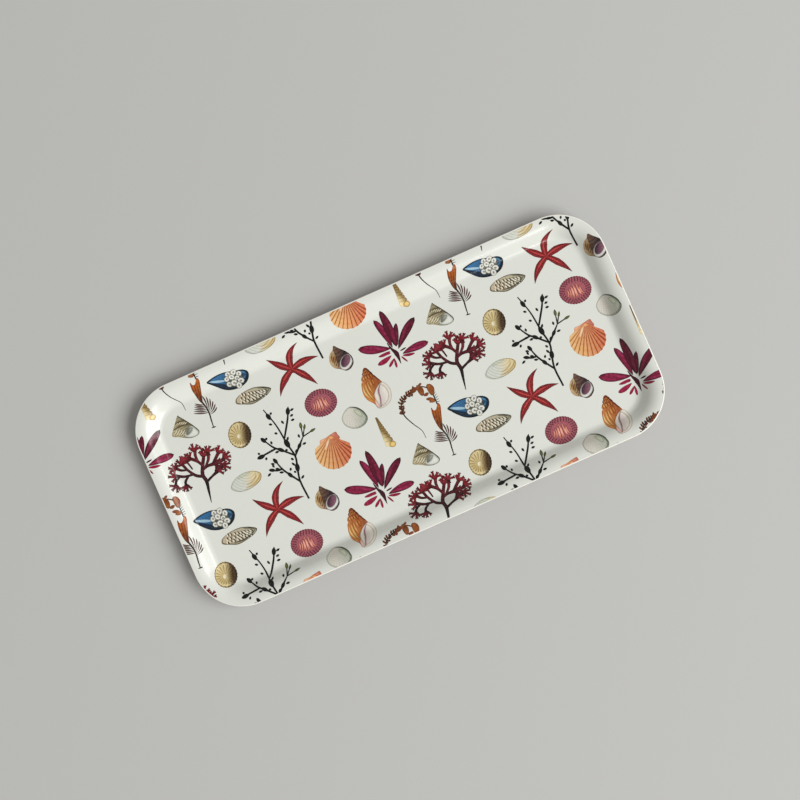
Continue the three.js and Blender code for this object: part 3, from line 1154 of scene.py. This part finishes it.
inked(
    "leaf_weed_ink", (-1.3, 36.2),
    [
        ((152, 24, 66), tuft(
            ((-4.9, 1.3), (-12.4, -2.3), 2.0, 0.3, 0.5), ((-4.6, 0.4), (-7.2, -1.0), 0.8, 0, 0.5),
            ((-4.1, -1.3), (-12.7, -7.5), 3.2, 0.4, 0.6),
            ((-2.3, -3.0), (-5.4, -8.8), 1.8, 0, 0.6),
            ((-2.3, -3.0), (-0.6, -9.1), 1.6, 0, 0.6), ((2.1, -1.8), (6.3, -5.2), 1.2, 0, 0.5),
            ((3.0, -1.2), (10.8, 0.3), 1.8, -0.3, 0.5),
        )),
        ((74, 18, 42), tuft(((1.4, 1.6), (5.2, 3.9), 1.0, 0, 0.5))),
        (rounded((98, 16, 46), (154, 38, 82), 1.5), tuft(
            ((-4.4, 3.3), (-25.4, 2.4), 5.8, 0.5, 0.62),
            ((-3.4, 3.6), (-15.6, 21.0), 4.6, -0.9, 0.6),
            ((2.9, -0.2), (19.3, 7.5), 5.0, 0.4, 0.62),
        ), fanned((0, 0))),
        (rounded((78, 12, 38), (122, 26, 60), 1.6), tuft(
            ((-0.8, 4.6), (-1.3, 19.3), 3.8, 0.4, 0.5),
            ((-1.0, 4.4), (-11.9, 27.3), 5.4, -0.6, 0.52),
            ((0.3, 2.9), (10.4, 23.1), 5.2, 0.9, 0.6),
        ), fanned((0, 0))),
        ((66, 14, 34), [
            ribbon([(-7.0, 6.6), (-4.2, 3.0), (-0.8, -0.2), (2.1, -6.6)], [0.5, 1.3, 3.0, 0.2]),
        ]),
    ],
    inks("leaf weed ink", pooling=0.2, pool_width=0.5, mottle=0.45, mottle_scale=0.45,
         ribs=0.22, rib_count=24.0),
)

# ---------------------------------------------------------------------------------------------
# Coral weed. A near-black stalk that forks again and again into a flat, crowded fan, its short
# blunt tips in blood-red ink.

random.seed(5)
forks = [
    ([(0, 0), (-1.6, 7), (-3.1, 13.5), (-5.6, 17.6), (-5.6, 23.4), (-5.0, 29.4)],
     [0.4, 1.5, 2.4, 2.5, 2.3, 2.1]),
    ([(-3.0, 13.0), (0.6, 16.8), (3.8, 19.8)], [1.8, 1.5, 2.4]),
    ([(-5.6, 20.6), (-2.4, 23.2), (2.6, 25.0)], [1.6, 1.8, 2.6]),
    ([(-5.4, 16.6), (-10, 17.2), (-15.2, 20.6), (-18.8, 24.4)], [2.0, 2.0, 1.7, 2.0]),
    ([(-12, 17.6), (-17.2, 16.4), (-22.6, 16.8)], [1.4, 1.7, 2.2]),
    ([(-14.6, 16.8), (-16.4, 13.4), (-16.2, 11.0)], [1.4, 1.7, 1.8]),
    ([(-20.2, 16.2), (-22.4, 13.4), (-22.8, 10.8)], [1.4, 1.7, 2.0]),
    ([(-15.2, 20.6), (-19.4, 20.4), (-22.4, 21.6)], [1.2, 1.6, 2.2]),
    ([(-5.6, 23.4), (-9, 26.2), (-13.4, 27.8)], [1.6, 2.0, 2.2]),
    ([(-8.6, 26.0), (-10.2, 29.4), (-10.6, 32.6)], [1.6, 1.9, 2.2]),
    ([(-12.0, 21.0), (-14.2, 24.0), (-15.8, 25.8)], [0.9, 1.2, 1.4]),
    ([(-3.8, 22.6), (-2.0, 27.6), (-2.4, 31.8)], [1.4, 1.9, 2.2]),
    ([(0.8, 24.6), (2.8, 28.6), (4.4, 31.6)], [1.6, 2.0, 2.4]),
    ([(2.0, 24.8), (5.8, 26.2), (8.0, 28.2)], [1.8, 2.2, 2.6]),
    ([(2.6, 19.6), (4.4, 22.6), (7.2, 23.0)], [1.8, 2.2, 2.4]),
]
tips = []
for line, _ in forks:
    heading = heading_of(np.subtract(line[-1], line[-2]))
    for spread in (-66, -24, 18, 60):
        lean = heading + spread + random.uniform(-8, 8)
        long = random.uniform(3.0, 4.4) * (1 - abs(spread) / 300)
        top = line[-1] + step(long, lean)
        bow = line[-1] + step(long / 2, lean, 0.4)
        tips.append(ribbon([line[-1], bow, top], [2.1, 1.5, 1.6], per_span=3))
        for side in (-1, 1):
            nub = top + step(1.3, lean, side * 0.8)
            tips.append(ribbon([top - (top - bow) * 0.4, top, nub], [1.0, 1.1, 0.9], per_span=2))
inked(
    "coral_weed_ink", (41.9, 13.1),
    [
        (wash((122, 26, 36), (98, 24, 34), (0, 32), (0, 10)), tips),
        (wash((26, 12, 16), (96, 24, 34), (-1, 12), (-3, 30)),
         [ribbon(line, widths) for line, widths in forks]),
    ],
    inks("coral weed ink", pooling=0.3, pool_width=0.4, mottle=0.7, mottle_scale=0.3),
)

# ---------------------------------------------------------------------------------------------
# Kelp. A whip-like stalk that arches over, with leaflets that grow larger towards one long
# amber blade, then two feathered tufts and a thin foot.

random.seed(9)
whip = smooth([(2.4, -14.3), (-0.1, -9.7), (-4.4, -6.5), (-8.0, -3.6), (-11.2, -0.4), (-13.1, 3.5),
               (-13.0, 8.6), (-10.1, 12.5), (-5.8, 15.9), (-1.9, 18.0), (2.0, 17.9), (5.2, 15.7),
               (7.7, 11.4), (9.5, 7.1)], closed=False)
leaflets = []
for number in range(26, 50, 2):
    heading = heading_of(whip[number + 1] - whip[number])
    for side in (-1, 1):
        lean = heading + side * random.uniform(44, 76)
        leaflets.append(leaf(whip[number], random.uniform(1.6, 3.0), lean, 1.3, blunt=0.5))
leaflets += tuft(
    ((-7.2, 14.6), (-3.6, 17.6), 3.2, 0, 0.5), ((-7.4, 14.8), (-6.4, 12.0), 1.9, 0, 0.5),
    ((-3.6, 19.2), (0.4, 12.4), 3.8, 0.5, 0.5), ((-2.6, 18.4), (-0.8, 20.6), 1.6, 0, 0.5),
    ((3.2, 20.0), (6.4, 12.8), 4.4, 0.7, 0.45), ((4.0, 14.4), (0.8, 12.6), 2.1, 0.2, 0.5),
    ((8.4, 9.2), (2.4, 10.4), 2.4, -0.5, 0.5), ((8.0, 8.8), (4.4, 8.6), 1.2, 0, 0.5),
    ((-3.0, 17.6), (1.4, 18.2), 0.9, 0.3, 0.5),
)
hairs = [
    leaf((6.9 + 0.4 * k, 12.6 - 1.1 * k), 3.0, 62 - 10 * k, 0.4) for k in range(5)
]
feathers = [
    leaf((14.0 + 0.62 * k, -10.8 - 0.95 * k), 6.0 + 0.75 * k, 172 + 2.4 * k, 0.9, bend=0.4)
    for k in range(6)
] + [
    leaf((16.6 + 0.2 * k, -14.6 - 0.5 * k), 10.4 - 0.7 * k, 112 - 13 * k, 0.9, -0.7, 0.7)
    for k in range(6)
]
inked(
    "kelp_ink", (14.2, -3.2),
    [
        ((48, 34, 30), [ribbon(whip[::3], [0.3, 0.8, 0.7, 0.8])] + hairs),
        (wash((112, 62, 32), (150, 82, 34), (-10, 0), (6, 0)), leaflets),
        (wash((186, 104, 36), (104, 54, 28), (8, 5), (12.4, -8)), [
            smooth([(5.6, 5.0), (7.2, 3.2), (8.8, 4.0), (9.8, 7.8), (11.5, 6.2), (12.1, 1.0),
                    (12.6, -4.3), (13.1, -9.7), (10.2, -7.2), (7.4, -2.2), (6.1, 1.6)]),
        ], straight(-78)),
        ((112, 70, 62), feathers),
        ((84, 66, 58), [
            ribbon([(12.8, -9.0), (15.3, -12.2), (17.4, -16.1), (18.8, -20.8), (20.1, -24.7)],
                   [1.1, 1.0, 0.9, 0.6]),
            leaf((18.8, -25.4), 3.2, 18, 0.8),
        ]),
    ],
    inks("kelp ink", pooling=0.4, pool_width=0.5, mottle=0.45, mottle_scale=0.4,
         ribs=0.24, rib_count=4.0),
)

# ---------------------------------------------------------------------------------------------
# Knotted wrack. Near-black wiry stems that swell into air bladders, with loose buds beside
# them and a few olive fruiting tips.

stems = [
    [(8.8, -27.0), (3.2, -15.8), (1.4, -7.2), (0, 0), (-5.4, 8.2), (-12.2, 19.6), (-20.4, 29.4)],
    [(0, 0), (2.6, 6.4), (5.0, 12.4)],
    [(-6.8, 11.4), (-5.6, 18.6), (-4.8, 24.2), (-4.6, 31.4)],
    [(-0.8, 0.8), (-8.8, 3.8), (-14.0, 5.6), (-21.2, 10.8)],
    [(-12.2, 4.8), (-17.6, 1.8), (-24.0, -1.8)],
    [(3.2, -16.0), (-3.0, -12.0), (-8.2, -8.2), (-13.6, -2.0)],
    [(-8.2, -8.2), (-11.4, -9.2), (-16.4, -9.0)],
]
bladders = [
    (1.4, -7.2, 6.0, 3.0, 100), (-5.2, 8.0, 6.4, 3.4, 122), (-17.0, 25.0, 5.0, 2.8, 128),
    (-4.7, 28.4, 5.2, 2.8, 90), (-9.0, 3.9, 5.0, 2.5, 158), (-20.2, 10.0, 4.6, 2.6, 142),
    (-21.6, -0.6, 5.6, 2.8, 206), (-3.1, -12.0, 4.8, 2.4, 140), (-12.6, -3.2, 4.4, 2.4, 134),
    (-14.6, -9.0, 4.4, 2.2, 178), (2.7, 6.6, 4.6, 2.2, 66),
]
random.seed(3)
buds = []
for stem in stems:
    line = smooth(stem, closed=False, per_span=4)
    for number in range(4, len(line) - 2, 2):
        heading = heading_of(line[number + 1] - line[number])
        lean = heading + random.choice((-1, 1)) * random.uniform(35, 60)
        gap = step(random.uniform(1.4, 2.6), lean)
        buds.append(leaf(line[number] + gap, random.uniform(1.8, 3.1), lean, 1.5, blunt=0.8))
shoots = [(9.4, 102, 2.0), (8.2, 82, 1.5), (9.6, 34, 1.7)]
fork_top = np.array([5.0, 12.4])
inked(
    "wrack_ink", (95.1, 42.6),
    [
        ((22, 25, 20), buds),
        ((40, 44, 30), [
            ribbon([fork_top, fork_top + step(length * 0.6, heading)], [0.9, 0.7])
            for length, heading, _ in shoots
        ]),
        (rounded((50, 54, 30), (116, 118, 64), 0.8), [
            leaf(fork_top + step(length * 0.5, heading), length * 0.5, heading, width, blunt=0.8)
            for length, heading, width in shoots
        ]),
        ((14, 16, 14), [ribbon(stem, [1.2, 1.3, 1.2, 0.7]) for stem in stems]),
        ((14, 16, 14), [
            leaf([x, y] - step(length / 2, heading), length, heading, width, blunt=0.6)
            for x, y, length, width, heading in bladders
        ]),
    ],
    inks("wrack ink", pooling=0.15, pool_width=0.4, mottle=0.3, mottle_scale=0.6),
)

# ---------------------------------------------------------------------------------------------
# Studio. A plain pale floor, a soft even surround, and one large window-like light off the near
# right-hand corner, seen from almost straight above the tray.

FLOOR_SIZE = 6.0
floor_mesh = bpy.data.meshes.new("studio_floor")
half = FLOOR_SIZE / 2
floor_mesh.from_pydata(
    [(-half, -half, 0), (half, -half, 0), (half, half, 0), (-half, half, 0)], [], [(0, 1, 2, 3)],
)
studio_floor = bpy.data.objects.new("studio_floor", floor_mesh)
bpy.context.scene.collection.objects.link(studio_floor)
floor_finish, tree, shader = finish("studio floor", roughness=0.8)
shader.inputs["Base Color"].default_value = shade(196, 196, 194)
floor_mesh.materials.append(floor_finish)
studio_floor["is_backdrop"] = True

LIGHT_AZIMUTH = math.radians(-37)
LIGHT_ELEVATION = math.radians(40.5)
LIGHT_DISTANCE = 5.0
LIGHT_WIDTH = 5.4
LIGHT_HEIGHT = 3.0
LIGHT_POWER = 276.0
SURROUND = 0.33

toward = Vector((
    math.cos(LIGHT_ELEVATION) * math.cos(LIGHT_AZIMUTH),
    math.cos(LIGHT_ELEVATION) * math.sin(LIGHT_AZIMUTH),
    math.sin(LIGHT_ELEVATION),
))
window = bpy.data.lights.new("window", "AREA")
window.shape = "RECTANGLE"
window.size = LIGHT_WIDTH
window.size_y = LIGHT_HEIGHT
window.energy = LIGHT_POWER
window_light = bpy.data.objects.new("window", window)
window_light.matrix_world = (
    Matrix.Translation(toward * LIGHT_DISTANCE) @ toward.to_track_quat("Z", "Y").to_matrix().to_4x4()
)
bpy.context.scene.collection.objects.link(window_light)

world = bpy.data.worlds.new("surround")
world.use_nodes = True
background = world.node_tree.nodes["Background"]
background.inputs["Color"].default_value = (1.0, 0.985, 0.95, 1.0)
background.inputs["Strength"].default_value = SURROUND
bpy.context.scene.world = world

CAMERA_HEIGHT = 620 * MM
CAMERA_OFF_CENTRE = 6.6 * MM
FRAME_WIDTH = 503 * MM
camera = bpy.data.cameras.new("camera")
camera.sensor_width = 36
camera.lens = camera.sensor_width * CAMERA_HEIGHT / FRAME_WIDTH
camera.clip_start = 0.01
camera_object = bpy.data.objects.new("camera", camera)
camera_object.rotation_euler = (0, 0, PAGE_TURN)
page_up = Vector((-math.sin(PAGE_TURN), math.cos(PAGE_TURN), 0))
camera_object.location = page_up * CAMERA_OFF_CENTRE + Vector((0, 0, tray_height + CAMERA_HEIGHT))
bpy.context.scene.collection.objects.link(camera_object)
bpy.context.scene.camera = camera_object
bpy.context.scene.view_settings.view_transform = "Standard"

[[list(corner) for corner in box] for box in (cad_box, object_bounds())]
